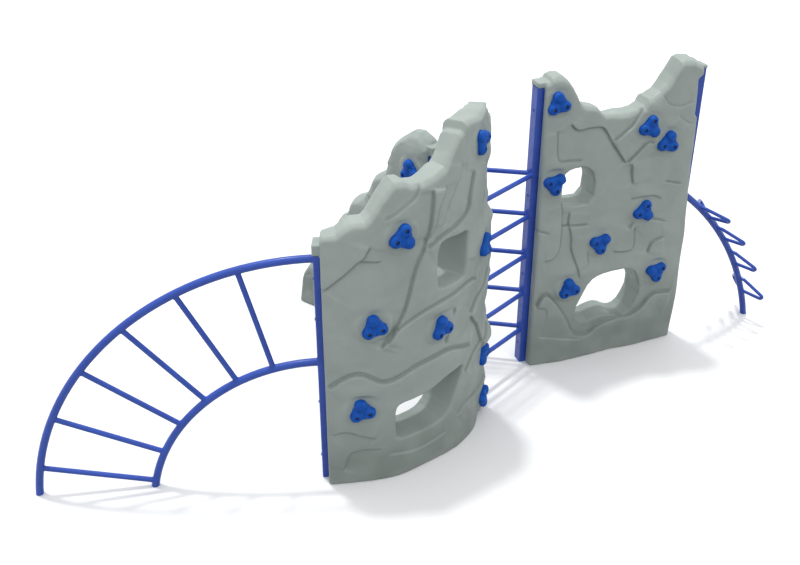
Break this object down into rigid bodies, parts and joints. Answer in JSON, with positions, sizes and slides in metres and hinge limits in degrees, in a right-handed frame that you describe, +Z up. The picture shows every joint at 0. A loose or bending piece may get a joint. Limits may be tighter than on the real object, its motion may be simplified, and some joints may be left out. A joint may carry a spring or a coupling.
{
  "type": "rock climbing wall",
  "caption": "Playground climber: hollow moulded rock panels round a hub of square posts and rungs, with an arch ladder, a bent pole with looped steps and bolted handholds.",
  "frame": {"origin": "centre of the right hub post's foot, on the ground", "axes": "+X along the straight panel, away from the hub; +Z up"},
  "size_m": [5.4777, 2.4999, 2.213],
  "materials": {
    "rock": "grey-green moulded polyethylene with rock relief",
    "frame": "royal blue powder coat on steel",
    "hold": "bright blue moulded plastic",
    "bolt": "stainless steel",
    "insert": "plain brass",
    "plug": "blue powder coat on steel"
  },
  "bodies": {
    "root": {"back_hub_post": "frame", "back_hub_rung_1": "frame", "back_hub_rung_2": "frame", "back_hub_rung_3": "frame", "back_hub_rung_4": "frame", "back_hub_rung_5": "frame", "curved_wall_back_holds": "hold", "curved_wall_front_holds": "hold", "curved_wall_hold_bolts": "bolt", "curved_wall_hold_inserts": "insert", "curved_wall_panel": "rock", "front_end_post": "frame", "front_hub_post": "frame", "front_hub_rung_1": "frame", "front_hub_rung_2": "frame", "front_hub_rung_3": "frame", "front_hub_rung_4": "frame", "front_hub_rung_5": "frame", "inner_rail": "frame", "ladder_rung_1": "frame", "ladder_rung_2": "frame", "ladder_rung_3": "frame", "ladder_rung_4": "frame", "ladder_rung_5": "frame", "ladder_rung_6": "frame", "loop_1_back": "frame", "loop_1_front": "frame", "loop_2_back": "frame", "loop_2_front": "frame", "loop_3_back": "frame", "loop_3_front": "frame", "loop_4_back": "frame", "loop_4_front": "frame", "loop_pole": "frame", "outer_rail": "frame", "panel_bolts": "frame", "panel_inserts": "insert", "pipe_foot_plugs": "plug", "post_foot_plates": "plug", "rail_bolts": "frame", "rail_end_plugs": "plug", "right_end_post": "frame", "right_hub_post": "frame", "stepped_wall_back_holds": "hold", "stepped_wall_front_holds": "hold", "stepped_wall_hold_bolts": "bolt", "stepped_wall_hold_inserts": "insert", "stepped_wall_panel": "rock", "straight_wall_back_holds": "hold", "straight_wall_front_holds": "hold", "straight_wall_hold_bolts": "bolt", "straight_wall_hold_inserts": "insert", "straight_wall_panel": "rock"}
  },
  "joints": []
}
